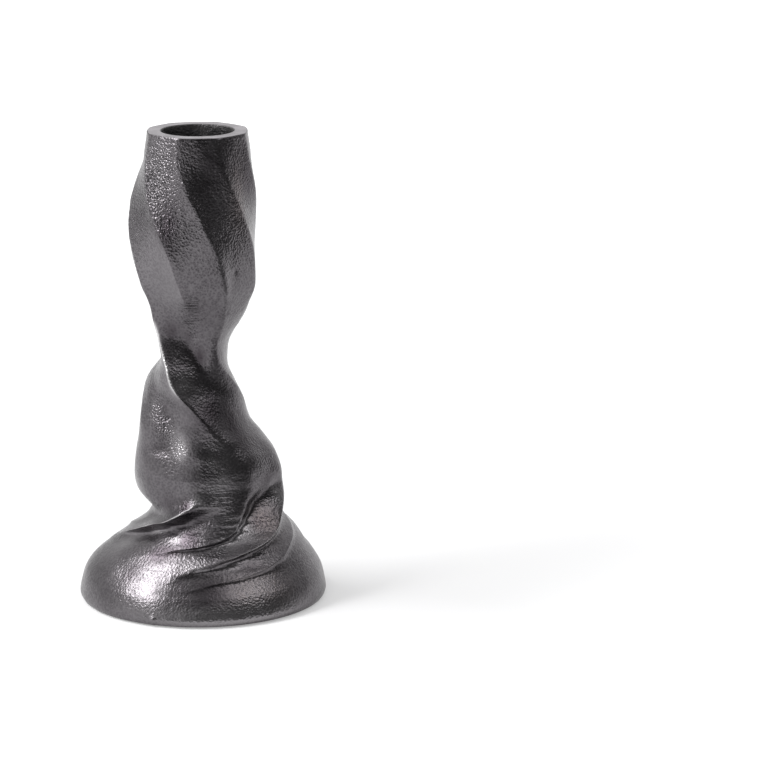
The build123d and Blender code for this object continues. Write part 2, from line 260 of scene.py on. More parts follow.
# Painted shade: patches where the skin's colour is darkened to stand for shade and to dim highlights
painted_shade_patches = (
    SkinPatch(205, 126, 16, 9, 0.65),
    SkinPatch(282, 142, 14, 8, 0.45),
    SkinPatch(241, 123, 10, 8, 0.9),
    SkinPatch(332, 136, 14, 10, 0.7),
    SkinPatch(344, 126, 12, 10, 0.75),
    SkinPatch(335, 84, 20, 8, 0.5),
    SkinPatch(312, 59.5, 8, 3, 0.4),
    SkinPatch(260, 24.8, 4, 2, 0.4),
    SkinPatch(150, 124, 20, 14, 0.5),
    SkinPatch(60, 132, 24, 12, 0.5),
    SkinPatch(225, 88, 11, 3.5, 0.8),
    SkinPatch(246, 86, 9, 3, 0.4),
    SkinPatch(277, 92, 22, 8, 0.3),
    SkinPatch(239, 33.5, 14, 4, 0.6),
    SkinPatch(267, 29.5, 9, 3, 0.5),
    SkinPatch(274, 10, 12, 5, 0.8),
    SkinPatch(298, 15.6, 9, 2, 0.6),
    SkinPatch(280, 63, 18, 6, 1.0),
    SkinPatch(318, 57, 22, 6.5, 0.95),
    SkinPatch(335, 43, 14, 4, 0.45),
    SkinPatch(268, 79.8, 11, 3.5, 1.0),
    SkinPatch(246, 77, 8, 3, 0.5),
    SkinPatch(262, 23.5, 8, 3, 0.7),
    SkinPatch(238, 18.8, 12, 2, 0.6),
    SkinPatch(257, 34.4, 6, 2.2, 1.0),
    SkinPatch(242, 21, 7, 2, 0.8),
    SkinPatch(236, 19.3, 6, 2, 0.6),
    SkinPatch(257, 24.1, 7, 2.2, 1.0),
    SkinPatch(250, 20.7, 5, 1.5, 0.7),
    SkinPatch(226, 13.8, 6, 3, 0.75),
    SkinPatch(332, 39.7, 7, 3, 0.75),
    SkinPatch(310, 105, 10, 6, 0.15),
    SkinPatch(221, 61, 10, 4, 0.3),
    SkinPatch(222, 51, 9, 3, 0.35),
)
# Painted light: patches where the skin's colour is paled to stand for light and highlights
painted_light_patches = (
    SkinPatch(249, 51.5, 5, 3, 0.8),
    SkinPatch(298, 9.5, 12, 5, 0.4),
    SkinPatch(280, 3.7, 40, 2.5, 1.0),
    SkinPatch(291, 52, 15, 8, 0.3),
    SkinPatch(329, 46, 10, 7, 0.24),
    SkinPatch(246, 52, 7, 4, 0.5),
    SkinPatch(287, 45, 12, 5, 0.4),
    SkinPatch(285, 38, 14, 4, 0.45),
    SkinPatch(247, 71.2, 12, 3.5, 0.9),
    SkinPatch(272, 69, 8, 3, 0.15),
    SkinPatch(247, 23.9, 2.5, 1.2, 0.5),
    SkinPatch(294, 112, 5, 4, 0.2),
    SkinPatch(299, 105, 5, 6, 0.45),
    SkinPatch(297, 25.5, 8, 3, 1.0),
    SkinPatch(304, 27.5, 5, 3, 0.6),
    SkinPatch(289, 22.5, 6, 2.5, 0.8),
    SkinPatch(291, 30.6, 5, 3, 0.5),
    SkinPatch(339, 34.6, 5, 4, 1.0),
    SkinPatch(198, 19, 10, 4, 0.35),
    SkinPatch(223, 25.6, 7, 2.2, 0.9),
    SkinPatch(238, 54, 8, 4, 0.3),
    SkinPatch(230, 26.3, 5, 1.5, 0.5),
    SkinPatch(287, 17, 5, 1.5, 0.4),
    SkinPatch(288, 148, 8, 2, 0.3),
    SkinPatch(226, 137.5, 6, 4, 0.2),
    SkinPatch(267, 36.8, 4, 2, 0.7),
    SkinPatch(279, 48.5, 4, 2, 0.6),
    SkinPatch(266, 16.7, 8, 1.8, 0.4),
)

# Facets with painted light that grows towards their far crest, by the azimuth at the rim of the ridge they
# start at
not_pale = ((0, 0), (1, 0))
painted_light_facets = {156: ((0.63, 0), (0.67, 0.3), (0.74, 0.32), (0.79, 0.2), (0.82, 0))}

# How strongly painted shade darkens the grooves, by share of the height, and how sharp a groove's bend has to
# be
groove_shade_shares = ((0.55, 0.7), (0.66, 0.15))
least_sunk_bend = 0.05
sunk_bend_range = 0.30
bend_smoothing_passes = 2

# Keeps a length that is divided by above zero
least_length = 1e-9

# The whole bulb is a little coarse, more and more between two heights
bulb_coarse_amount = 0.3
bulb_coarse_from = 106.0
bulb_coarse_full = 122.0

# Crests rubbed bare and painted with a highlight line, by the ridge's azimuth at the rim: how wide, and how
# much by share of the height
rubbed_highlit_crests = {
    112: (0.35, ((0.13, 0), (0.155, 0.6), (0.205, 1), (0.222, 0.4), (0.237, 0.15), (0.25, 0))),
    156: (0.55, ((0.45, 0), (0.48, 0.8), (0.53, 1), (0.585, 1), (0.61, 0))),
    203: (0.30, ((0.12, 0), (0.15, 0.4), (0.22, 0.6), (0.26, 0))),
}

# Felt pads: a pressed disc with a soft edge and a nap, and loose fibres on its underside
pad_segments = 72
pad_soft_edge = 0.28
pad_corner_share = 0.3
lower_ring_shares = (0.2, 0.4, 0.6, 0.8)
upper_ring_shares = (0.75, 0.5, 0.25)
nap = 0.05
nap_wander_share = 0.8
nap_wavelength = 0.45
nap_seed = 3
fibre_count = 220
fibre_seed = 7
fibre_radius = 0.028
fibre_clearance = 0.004
fibre_border = 1.1
fibre_lengths = (0.5, 1.0)
fibre_bows = (-0.15, 0.15)
fibre_steps = 4
fibre_sides = 3

# Colours in linear light. A pair is for the two ends of a mottling.
skin_colours = ((0.129, 0.121, 0.128), (0.159, 0.150, 0.158))
pit_colours = ((0.076, 0.069, 0.075), (0.101, 0.093, 0.101))
coarse_pit_colour = (0.030, 0.027, 0.030)
warm_colour = (0.164, 0.139, 0.138)
# Painted shade in grooves and patches, painted light in patches, and crests rubbed bare, which also paint a
# highlight
painted_light_and_wear_colours = {
    "sunk": (0.071, 0.065, 0.070),
    "dark": (0.053, 0.046, 0.052),
    "pale": (0.302, 0.289, 0.300),
    "rubbed": (0.62, 0.61, 0.615),
}
rim_colours = ((0.425, 0.405, 0.425), (0.273, 0.258, 0.272))
socket_colours = ((0.08, 0.077, 0.079), (0.145, 0.14, 0.143))
felt_colours = ((0.030, 0.030, 0.032), (0.075, 0.074, 0.077))
paper_colours = ((0.80, 0.80, 0.80), (0.82, 0.82, 0.82))
seen_paper_colour = (0.60, 0.60, 0.605)
unlit_paper_colour = (0.05, 0.05, 0.05)

# Spans of a noise's value that a finish changes over, and the roughness at their ends
mottle_span = (0.3, 0.7)
stain_span = (0.35, 0.7)
patch_span = (0.35, 0.65)
skin_roughness = (0.25, 0.33)
rim_roughness = (0.34, 0.5)
socket_roughness = (0.42, 0.6)
felt_roughness = (0.85, 1.0)

# Relief of the casting's skin: the shares of its layers, and the heights between which a pit ends
fine_cell_share = 0.8
fine_grain_share = 0.7
middle_cell_distance = 0.36
pit_end_span = (0.45, 0.95)
smooth_fill_share = 0.8
coarse_pit_share = 0.6
fine_relief_shares = (0.3, 0.6)
pebble_relief_share = 1.4
streak_relief_share = 1.4
cell_smoothness = 0.3

# How deep each finish's relief is, and how its streaks or marks are squeezed along x, y and z
skin_bump = 0.22
rim_bump = 0.06
socket_bump = 0.2
felt_bump = 0.3
streak_squeeze = (0.12, 0.12, 1.0)
rim_mark_squeeze = (1.0, 9.0, 1.0)

# Floor, in metres: its glow grows with the distance from the object, and a quarter of it, towards the
# front right, is unlit
floor_half_width = 6.0
glow_distances = (0.15, 0.9)
glow_strengths = (0.35, 0.85)
unlit_direction = (0.74, -0.67, 0.0)
unlit_cross_direction = (0.67, 0.74, 0.0)
unlit_distances = (0.06, 0.11)
unlit_shares = (0.0, 0.84)

# Sides where the room is dimmer: towards where, the cosines it dims between, and its strength at each
RoomSide = namedtuple("RoomSide", "direction cosines strengths")
room_sides = (
    RoomSide((0.61, -0.79, 0.06), (-0.25, 0.70), (1.05, 0.06)),
    RoomSide((-0.64, 0.77, 0.0), (0.50, 0.95), (1.0, 0.70)),
)

# Lamps, in metres and watts: where each is, what it is aimed at, which way its long side runs and its sides
SoftBox = namedtuple("SoftBox", "name place target along sides power")
soft_boxes = (
    SoftBox("key", (-0.621, -0.087, 0.811), (0, 0, 0.05), (0.39, 0.84, 0.38), (0.72, 0.20), 8.6),
    SoftBox("fill", (0.504, -0.353, 0.838), (0, 0, 0.05), (-0.489, -0.274, 0.197), (0.7, 0.36), 1.75),
)

# Camera fitted to the rim's and the foot's ellipses in the photograph, with its place in metres
camera_place = (0.0, -1.0514, 0.3308)
camera_yaw = 3.160
camera_pitch = 14.02
camera_lens = 160.3
sensor_width = 36.0


def slope_at(first, second):
    """Slope of a monotone curve at a knot between two chords."""
    if first * second <= 0:
        return 0.0
    return 2 * first * second / (first + second)


def follow(knots, share):
    """Value at a share of the height, on a smooth curve through a table's knots that never overshoots one."""
    if share <= knots[0][0]:
        return knots[0][1]
    if share >= knots[-1][0]:
        return knots[-1][1]
    chords = [(b[1] - a[1]) / (b[0] - a[0]) for a, b in zip(knots, knots[1:])]
    index = max(i for i, knot in enumerate(knots[:-1]) if knot[0] <= share)
    start_slope = slope_at(chords[max(index - 1, 0)], chords[index])
    end_slope = slope_at(chords[index], chords[min(index + 1, len(chords) - 1)])
    width = knots[index + 1][0] - knots[index][0]
    t = (share - knots[index][0]) / width
    low, high = knots[index][1], knots[index + 1][1]
    rise = t * t * (3 - 2 * t)
    return low + (high - low) * rise + width * t * (1 - t) * (start_slope * (1 - t) - end_slope * t)


def outline_reach(share):
    """Reach of the outline to the left, to the right and to front and back at a share of the height."""
    left = [(level.height_share, level.size * level.left_share) for level in outline_levels]
    right = [(level.height_share, level.size * level.right_share) for level in outline_levels]
    depth = [(level.height_share, level.size * level.depth_share) for level in outline_levels]
    return follow(left, share), follow(right, share), follow(depth, share)


def crest_azimuth(ridge, share):
    return ridge.azimuth + follow(twist_at_height_shares, share) + follow(ridge.drift_at_height_shares, share)


def crest_strength(ridge, share):
    across_waist = ridge.waist_share * follow(waist_ridge_shares, share)
    return follow(bulb_ridge_shares, share) + across_waist + follow(ridge.fold_shares, share)


def fold_spread(ridge, share):
    t = (spread_from_share - share) / (spread_from_share - spread_to_share)
    return 1 + (ridge.spread_share - 1) * min(max(t, 0), 1)


def turn_from(azimuth, azimuths):
    """Turn from one azimuth to each of many, by the shorter way round."""
    half_turn_angle = full_turn_angle / 2
    return (azimuths - azimuth + half_turn_angle) % full_turn_angle - half_turn_angle


def unit_radius(share, azimuths):
    """Radius of a section of unit size at each azimuth."""
    steep = follow(steep_side_at_height_shares, share)
    gentle = follow(gentle_side_at_height_shares, share)
    rounding = follow(crest_rounding_at_height_shares, share)
    groove = follow(waist_groove_shares, share)
    flat = follow(waist_flat_shares, share)
    groove_offset = follow(groove_offset_at_height_shares, share)
    flat_offset = follow(flat_offset_at_height_shares, share)
    height = np.zeros(len(azimuths))
    for ridge in ridges:
        gap = turn_from(crest_azimuth(ridge, share), azimuths)
        away = np.hypot(gap, rounding) - rounding
        side = np.where(gap > 0, steep, gentle * fold_spread(ridge, share))
        height += crest_strength(ridge, share) * np.exp(-away / side)
        height -= groove * ridge.waist_share * np.exp(-((gap - groove_offset) / groove_width_angle) ** 2)
        height -= flat * ridge.waist_share * np.exp(-((gap - flat_offset) / flat_width_angle) ** 2)
        hollow = follow(ridge.hollow_shares, share)
        hollow_offset = follow(ridge.hollow_offset_at_height_shares, share)
        height -= hollow * np.exp(-((gap - hollow_offset) / hollow_width_angle) ** 2)
    return 1 + follow(relief_shares, share) * height


def unit_extents(share):
    """Least and greatest x and y of a section of unit size."""
    azimuths = np.arange(0, full_turn_angle, extent_step_angle)
    radius = unit_radius(share, azimuths)
    across = radius * np.cos(np.radians(azimuths))
    along = radius * np.sin(np.radians(azimuths))
    return across.min(), across.max(), along.min(), along.max()


def eased_extents(share):
    """Extents of a section of unit size, averaged with those of its neighbours."""
    return np.mean([unit_extents(min(max(share + offset, 0), 1)) for offset in easing_shares], axis=0)


def column_azimuths(share):
    """Azimuths of a row's points, which keep to the crests as they turn."""
    crests = [crest_azimuth(ridge, share) for ridge in ridges]
    following = crests[1:] + [crests[0] + full_turn_angle]
    even = np.arange(columns_per_facet) / columns_per_facet
    crowded = even - crest_crowding * np.sin(2 * np.pi * even) / (2 * np.pi)
    return np.concatenate([crest + crowded * (after - crest) for crest, after in zip(crests, following)])


def skin_row(share):
    """Points of the casting's outer section at a share of its height."""
    azimuths = column_azimuths(share)
    radius = unit_radius(share, azimuths)
    least_x, greatest_x, least_y, greatest_y = eased_extents(share)
    left, right, depth = outline_reach(share)
    scale_x = (left + right) / (greatest_x - least_x)
    scale_y = 2 * depth / (greatest_y - least_y)
    x = right - scale_x * greatest_x + scale_x * radius * np.cos(np.radians(azimuths))
    y = depth - scale_y * greatest_y + scale_y * radius * np.sin(np.radians(azimuths))
    return np.column_stack([x, y, np.full(len(x), pad_proud + share * casting_height)])


def round_ring(directions, radius, height):
    """A level circle with a point in each of the given directions."""
    return np.column_stack([directions * radius, np.full(len(directions), height)])


def directions_of(row):
    return row[:, :2] / np.linalg.norm(row[:, :2], axis=1, keepdims=True)


def inset(row, distance, height):
    """A row drawn in towards the axis, at a height of its own."""
    directions = directions_of(row)
    return np.column_stack([row[:, :2] - directions * distance, np.full(len(row), height)])


def quarter_steps():
    """Shares of the way round a rounded edge, as (out, up) pairs."""
    for step in range(1, round_steps + 1):
        angle = math.pi / 2 * step / round_steps
        yield 1 - math.cos(angle), math.sin(angle)


def underside_rows(first):
    """Rows from the middle of the hollow to the skin's first row."""
    directions = directions_of(first)
    rows = []
    top = pad_proud + hollow_height
    dome_radius = (hollow_radius ** 2 + hollow_height ** 2) / (2 * hollow_height)
    middle = top - dome_radius
    widest = math.asin(hollow_radius / dome_radius)
    for step in range(1, dome_steps + 1):
        angle = widest * step / dome_steps
        height = middle + dome_radius * math.cos(angle)
        rows.append(round_ring(directions, dome_radius * math.sin(angle), height))
    rows[-1][:, 2] = pad_proud + edge_round
    for out, up in quarter_steps():
        height = pad_proud + edge_round * (1 - up)
        rows.append(round_ring(directions, hollow_radius + edge_round * out, height))
    inner = rows[-1]
    outer = inset(first, edge_round, pad_proud)
    for step in range(1, ring_steps + 1):
        rows.append(inner + (outer - inner) * step / ring_steps)
    return rows


def mouth_rows(last):
    """Rows from the skin's last row over the rim, down the socket and in over its floor."""
    directions = directions_of(last)
    rows = []
    for out, up in quarter_steps():
        rows.append(inset(last, edge_round * out, overall_height - edge_round * (1 - up)))
    outer = rows[-1]
    inner = round_ring(directions, socket_radius + edge_round, overall_height)
    for step in range(1, rim_steps + 1):
        rows.append(outer + (inner - outer) * step / rim_steps)
    for out, up in quarter_steps():
        height = overall_height - edge_round * out
        rows.append(round_ring(directions, socket_radius + edge_round * (1 - up), height))
    bottom = overall_height - socket_depth
    wall_top = overall_height - edge_round
    wall_bottom = bottom + floor_fillet
    for step in range(1, wall_steps + 1):
        height = wall_top + (wall_bottom - wall_top) * step / wall_steps
        rows.append(round_ring(directions, socket_radius, height))
    for out, up in quarter_steps():
        height = bottom + floor_fillet * (1 - up)
        rows.append(round_ring(directions, socket_radius - floor_fillet * out, height))
    flat_radius = socket_radius - floor_fillet
    for step in range(1, floor_steps):
        rows.append(round_ring(directions, flat_radius * (1 - step / floor_steps), bottom))
    return rows


def wrap(grid, shift):
    return np.roll(grid, shift, axis=1)


def grid_normals(grid):
    """Outward normals of a grid of rows that close on themselves."""
    along = np.gradient(grid, axis=0)
    around = wrap(grid, -1) - wrap(grid, 1)
    normals = np.cross(around, along)
    return normals / np.maximum(np.linalg.norm(normals, axis=2, keepdims=True), least_length)


def bulge(grid, normals):
    """Bend of the surface at each point, per millimetre: above zero on a crest, below in a groove."""
    total = np.zeros(grid.shape[:2])
    across = (wrap(grid, 1), wrap(grid, -1))
    upward = (np.roll(grid, 1, axis=0), np.roll(grid, -1, axis=0))
    for before, after in (across, upward):
        first = grid - before
        second = after - grid
        first_length = np.maximum(np.linalg.norm(first, axis=2), least_length)
        second_length = np.maximum(np.linalg.norm(second, axis=2), least_length)
        bend = second / second_length[..., None] - first / first_length[..., None]
        total -= np.sum(bend * normals, axis=2) * 2 / (first_length + second_length)
    total[0] = total[1]
    total[-1] = total[-2]
    for _ in range(bend_smoothing_passes):
        total = (2 * total + wrap(total, 1) + wrap(total, -1)) / 4
        total[1:-1] = (2 * total[1:-1] + total[:-2] + total[2:]) / 4
    return total


def cast_unevenness(point):
    """Height of the uneven cast skin at a point."""
    height = -skin_inset
    for wavelength, amount in skin_layers:
        height += amount * noise.noise(point / wavelength)
    return height


def azimuths_of(grid):
    return np.degrees(np.arctan2(grid[..., 1], grid[..., 0]))


def mark_height(grid):
    """Height of the cast marks over a grid."""
    azimuths = azimuths_of(grid)
    radii = np.hypot(grid[..., 0], grid[..., 1])
    height = np.zeros(grid.shape[:2])
    for mark in cast_marks:
        gap = turn_from(mark.azimuth, azimuths)
        away = np.hypot(np.radians(gap) * radii, grid[..., 2] - mark.height)
        height += mark.rise * np.exp(-(away / mark.radius) ** 2)
    return height


def patch_amounts(grid, patches):
    """How much a set of patches shows at each point of a grid."""
    azimuths = azimuths_of(grid)
    amounts = np.zeros(grid.shape[:2])
    for patch in patches:
        gap = turn_from(patch.azimuth, azimuths)
        up = grid[..., 2] - patch.height
        amounts += patch.amount * np.exp(-(gap / patch.spread_angle) ** 2 - (up / patch.spread_height) ** 2)
    return amounts


def down_rows(table, shares):
    """A table's value for each row of the grid, as a column."""
    return np.array([[follow(table, share)] for share in shares])


def rubbed_highlight_amounts(grid, shares):
    """How much each point of a grid is rubbed bare and painted with a highlight, by its distance from the
    rubbed crests.
    """
    amounts = np.zeros(grid.shape[:2])
    for index, ridge in enumerate(ridges):
        if ridge.azimuth in rubbed_highlit_crests:
            width, table = rubbed_highlit_crests[ridge.azimuth]
            crest = grid[:, index * columns_per_facet]
            away = np.linalg.norm(grid - crest[:, None], axis=2)
            amounts += down_rows(table, shares) * np.exp(-(away / width) ** 2)
    return amounts


def facet_light_amounts(shares):
    """How much painted light each facet gets, more and more towards its far crest."""
    across = np.arange(columns_per_facet) / columns_per_facet
    tables = [painted_light_facets.get(ridge.azimuth, not_pale) for ridge in ridges]
    return np.concatenate([down_rows(table, shares) * across for table in tables], axis=1)


def coarse_amounts(grid):
    """How coarse the skin is at each point of a grid: the whole bulb, and more in patches."""
    bulb = np.clip((grid[..., 2] - bulb_coarse_from) / (bulb_coarse_full - bulb_coarse_from), 0, 1)
    return bulb_coarse_amount * bulb + patch_amounts(grid, coarse_patches)


def skin_grid():
    """The uneven outer skin, and the values that its material reads at each point."""
    shares = np.concatenate([np.linspace(low, high, count, endpoint=False) for low, high, count in row_spans])
    shares = np.append(shares, row_spans[-1][1])
    even = np.array([skin_row(share) for share in shares])
    normals = grid_normals(even)
    rise = np.array([[cast_unevenness(Vector(point)) for point in row] for row in even])
    rise = np.where(even[..., 2] < level_foot_height, np.minimum(rise, -skin_inset / 2), rise)
    rise += mark_height(even)
    # Painted shade: grooves are darkened by how sharply they bend
    sunk = np.clip((-bulge(even, normals) - least_sunk_bend) / sunk_bend_range, 0, 1)
    values = {
        "sunk": sunk * down_rows(groove_shade_shares, shares),
        # Crests rubbed bare, which also paints a highlight along them
        "rubbed": rubbed_highlight_amounts(even, shares),
        "coarse": coarse_amounts(even),
        "smooth": patch_amounts(even, smooth_patches),
        "brushed": patch_amounts(even, brushed_patches),
        "warm": patch_amounts(even, warm_patches),
        # Painted shade in patches
        "dark": patch_amounts(even, painted_shade_patches),
        # Painted light in patches and on facets
        "pale": patch_amounts(even, painted_light_patches) + facet_light_amounts(shares),
    }
    return even + normals * rise[..., None], values


def close_rows(rows, first_pole, last_pole):
    """Points and faces of a closed skin through the rows, with a pole at each end."""
    count = len(rows[0])
    points = np.concatenate(rows + [np.array([first_pole, last_pole])])
    faces = []
    for row in range(len(rows) - 1):
        for column in range(count):
            right = (column + 1) % count
            faces.append((row * count + column, row * count + right,
                          (row + 1) * count + right, (row + 1) * count + column))
    low_pole = len(points) - 2
    high_pole = len(points) - 1
    top = (len(rows) - 1) * count
    for column in range(count):
        right = (column + 1) % count
        faces.append((low_pole, right, column))
        faces.append((high_pole, top + column, top + right))
    return points, faces


def new_object(name, points, faces):
    mesh = bpy.data.meshes.new(name)
    mesh.from_pydata((np.asarray(points) * MM).tolist(), [], faces)
    mesh.validate()
    piece = bpy.data.objects.new(name, mesh)
    bpy.context.scene.collection.objects.link(piece)
    return piece


def pad_middle(azimuth):
    angle = math.radians(azimuth)
    return pad_circle_radius * math.cos(angle), pad_circle_radius * math.sin(angle)


def recess_cutter():
    """The round bodies that the pads' recesses are cut with."""
    bm = bmesh.new()
    height = pad_thickness + cut_overrun
    for azimuth in pad_azimuths.values():
        x, y = pad_middle(azimuth)
        place = Matrix.Translation(Vector((x, y, pad_thickness - height / 2)) * MM)
        bmesh.ops.create_cone(bm, cap_ends=True, segments=recess_segments, radius1=recess_radius * MM,
                              radius2=recess_radius * MM, depth=height * MM, matrix=place)
    mesh = bpy.data.meshes.new("recess_cutter")
    bm.to_mesh(mesh)
    bm.free()
    cutter = bpy.data.objects.new("recess_cutter", mesh)
    bpy.context.scene.collection.objects.link(cutter)
    return cutter


def cut_recesses(piece):
    """Cuts the pads' recesses into the underside."""
    cutter = recess_cutter()
    cut = piece.modifiers.new("recesses", "BOOLEAN")
    cut.operation = "DIFFERENCE"
    cut.solver = "EXACT"
    cut.object = cutter
    graph = bpy.context.evaluated_depsgraph_get()
    result = bpy.data.meshes.new_from_object(piece.evaluated_get(graph))
    piece.modifiers.clear()
    piece.data = result
    bpy.data.objects.remove(cutter)


def keep_values(piece, first_point, values):
    """Keeps the skin's values on its points, for its material to read."""
    for name, amounts in values.items():
        column = np.zeros(len(piece.data.vertices), dtype=np.float32)
        column[first_point:first_point + amounts.size] = amounts.ravel()
        attribute = piece.data.attributes.new(name, "FLOAT", "POINT")
        attribute.data.foreach_set("value", column)


def dress_rows(piece, columns, first_rows, materials):
    """Gives the faces their materials, each from its own first row up to the next one's."""
    for material in materials:
        piece.data.materials.append(material)
    for polygon in piece.data.polygons:
        row = min(polygon.vertices) // columns
        polygon.material_index = max(i for i, first in enumerate(first_rows) if first <= row)


def spiral_casting():
    skin, skin_values = skin_grid()
    below = underside_rows(skin[0])
    above = mouth_rows(skin[-1])
    hollow_top = (0, 0, pad_proud + hollow_height)
    socket_bottom = (0, 0, overall_height - socket_depth)
    points, faces = close_rows(below + list(skin) + above, hollow_top, socket_bottom)
    piece = new_object("spiral_casting_skin", points, faces)
    columns = len(skin[0])
    keep_values(piece, len(below) * columns, skin_values)
    rim_first = len(below) + len(skin) + round_steps - 1
    dress_rows(piece, columns, (0, rim_first, rim_first + rim_steps),
               (cast_skin(), ground_rim(), socket_metal()))
    cut_recesses(piece)
    piece.data.shade_smooth()
    piece.data.set_sharp_from_angle(angle=math.radians(sharp_edge_angle))
    return piece


def add_fibre(bm, start, heading, length, bow):
    """One bent fibre from start along a level heading."""
    up = Vector((0, 0, 1))
    side = heading.cross(up)
    rings = []
    for step in range(fibre_steps + 1):
        t = step / fibre_steps
        middle = start + heading * (length * t) + side * (bow * math.sin(math.pi * t))
        ring = []
        for corner in range(fibre_sides):
            angle = 2 * math.pi * corner / fibre_sides
            offset = side * math.cos(angle) + up * math.sin(angle)
            ring.append(bm.verts.new((middle + offset * fibre_radius) * MM))
        rings.append(ring)
    for low, high in zip(rings, rings[1:]):
        for corner in range(fibre_sides):
            after = (corner + 1) % fibre_sides
            bm.faces.new((low[corner], low[after], high[after], high[corner]))
    bm.faces.new(rings[0][::-1])
    bm.faces.new(rings[-1])


def add_fibres(piece, x, y, draw):
    """Lays loose fibres on the underside of the pad whose middle is at x, y."""
    bm = bmesh.new()
    bm.from_mesh(piece.data)
    for _ in range(fibre_count):
        angle = draw.uniform(0, 2 * math.pi)
        heading_angle = draw.uniform(0, 2 * math.pi)
        reach = (pad_radius - fibre_border) * math.sqrt(draw.random())
        height = fibre_radius + fibre_clearance
        start = Vector((x + reach * math.cos(angle), y + reach * math.sin(angle), height))
        heading = Vector((math.cos(heading_angle), math.sin(heading_angle), 0))
        length = draw.uniform(*fibre_lengths)
        bow = draw.uniform(*fibre_bows)
        add_fibre(bm, start, heading, length, bow)
    bm.to_mesh(piece.data)
    bm.free()


def pad_profile():
    """Radius and height of each ring of a pad, from its underside out round its edge and in over its top."""
    side = pad_radius - nap
    top = pad_thickness - nap / 2
    corner = pad_soft_edge * pad_corner_share
    underside = [(pad_radius * share, nap) for share in lower_ring_shares]
    edge = [
        (side - pad_soft_edge, nap),
        (side - corner, nap + corner),
        (side, nap + pad_soft_edge),
        (side, pad_thickness / 2),
        (side, pad_thickness - pad_soft_edge),
        (side - pad_soft_edge, top),
    ]
    return underside + edge + [(pad_radius * share, top) for share in upper_ring_shares]


def felt_pad(side, azimuth, draw):
    """A pressed felt disc with a soft edge, uneven faces and loose fibres."""
    x, y = pad_middle(azimuth)
    rows = []
    for radius, height in pad_profile():
        ring = []
        for step in range(pad_segments):
            angle = 2 * math.pi * step / pad_segments
            place = Vector((x + radius * math.cos(angle), y + radius * math.sin(angle), height))
            place += nap * nap_wander_share * noise.noise_vector(place / nap_wavelength)
            place.z = min(max(place.z, 0.0), pad_thickness)
            ring.append(place)
        rows.append(np.array(ring))
    points, faces = close_rows(rows, (x, y, nap), (x, y, pad_thickness - nap / 2))
    piece = new_object(f"felt_disc_{side}", points, faces)
    add_fibres(piece, x, y, draw)
    piece.data.shade_smooth()
    return piece


class Nodes:
    """A material's node tree with short ways to add to it. Scales are per metre."""

    def __init__(self, name):
        self.material = bpy.data.materials.new(name)
        self.material.use_nodes = True
        self.tree = self.material.node_tree
        self.shader = self.tree.nodes["Principled BSDF"]
        self.coords = self.tree.nodes.new("ShaderNodeTexCoord").outputs["Object"]

    def add(self, kind, **settings):
        node = self.tree.nodes.new(kind)
        for name, value in settings.items():
            setattr(node, name, value)
        return node

    def link(self, output, node, name):
        self.tree.links.new(output, node.inputs[name])

    def set(self, **sockets):
        for name, value in sockets.items():
            self.shader.inputs[name.replace("_", " ")].default_value = value

    def attribute(self, name):
        return self.add("ShaderNodeAttribute", attribute_name=name).outputs["Fac"]

    def noise(self, scale, detail=2.0, roughness=0.5, coords=None):
        node = self.add("ShaderNodeTexNoise")
        node.inputs["Scale"].default_value = scale
        node.inputs["Detail"].default_value = detail
        node.inputs["Roughness"].default_value = roughness
        self.link(coords or self.coords, node, "Vector")
        return node.outputs["Fac"]

    def cells(self, scale):
        node = self.add("ShaderNodeTexVoronoi", feature="SMOOTH_F1")
        node.inputs["Scale"].default_value = scale
        node.inputs["Smoothness"].default_value = cell_smoothness
        self.link(self.coords, node, "Vector")
        return node.outputs["Distance"]

    def squeezed(self, scales):
        node = self.add("ShaderNodeMapping")
        node.inputs["Scale"].default_value = scales
        self.link(self.coords, node, "Vector")
        return node.outputs["Vector"]

    def along(self, direction):
        """How far a point lies along a direction."""
        node = self.add("ShaderNodeVectorMath", operation="DOT_PRODUCT")
        node.inputs[1].default_value = direction
        self.link(self.coords, node, 0)
        return node.outputs["Value"]

    def span(self, value, ends, results=(0.0, 1.0)):
        """Spreads a value between two ends over two results."""
        node = self.add("ShaderNodeMapRange")
        for name, number in zip(("From Min", "From Max", "To Min", "To Max"), (*ends, *results)):
            node.inputs[name].default_value = number
        self.link(value, node, "Value")
        return node.outputs["Result"]

    def math(self, operation, first, second):
        node = self.add("ShaderNodeMath", operation=operation)
        for index, value in enumerate((first, second)):
            if isinstance(value, (int, float)):
                node.inputs[index].default_value = value
            else:
                self.link(value, node, index)
        return node.outputs["Value"]

    def plus(self, first, second):
        return self.math("ADD", first, second)

    def times(self, first, second):
        return self.math("MULTIPLY", first, second)

    def blend(self, factor, first, second):
        """Mixes two colours, each an output or three numbers."""
        node = self.add("ShaderNodeMix", data_type="RGBA")
        self.link(factor, node, "Factor")
        for name, value in (("A", first), ("B", second)):
            socket = next(s for s in node.inputs if s.name == name and s.type == "RGBA")
            if isinstance(value, tuple):
                socket.default_value = (*value, 1)
            else:
                self.tree.links.new(value, socket)
        return next(s for s in node.outputs if s.type == "RGBA")

    def bump(self, height, depth, strength):
        """Normals of a relief whose depth is in millimetres."""
        node = self.add("ShaderNodeBump")
        node.inputs["Distance"].default_value = depth * MM
        node.inputs["Strength"].default_value = strength
        self.link(height, node, "Height")
        return node.outputs["Normal"]

    def finish(self, colour, roughness, normal):
        self.link(colour, self.shader, "Base Color")
        self.link(roughness, self.shader, "Roughness")
        self.link(normal, self.shader, "Normal")
        return self.material


